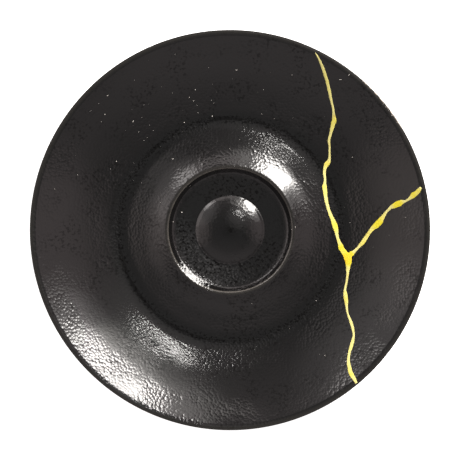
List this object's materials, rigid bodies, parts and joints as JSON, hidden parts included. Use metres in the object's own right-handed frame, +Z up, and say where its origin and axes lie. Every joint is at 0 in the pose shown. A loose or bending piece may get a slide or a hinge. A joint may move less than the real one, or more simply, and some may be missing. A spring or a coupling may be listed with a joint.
{
  "type": "saucer",
  "caption": "Round black-glazed stoneware saucer with a rising rim, a sunken cup seat around a raised button, a foot ring and gold mended-crack lines.",
  "frame": {"origin": "the middle of the foot ring's underside, on the surface that the saucer stands on", "axes": "+Z up along the turning axis, towards the cup; +X to the picture's right and +Y to the picture's top, so the gold seam lies on the +X side"},
  "size_m": [0.15, 0.15, 0.0173],
  "materials": {
    "black_glaze": "satin black glaze with a fine crystal mottle and small pale specks; the foot ring's underside is bare clay",
    "gold_seam": "bright yellow gold lustre in thin irregular lines, as on a mended crack"
  },
  "bodies": {
    "root": {"saucer": "black_glaze"}
  },
  "joints": []
}
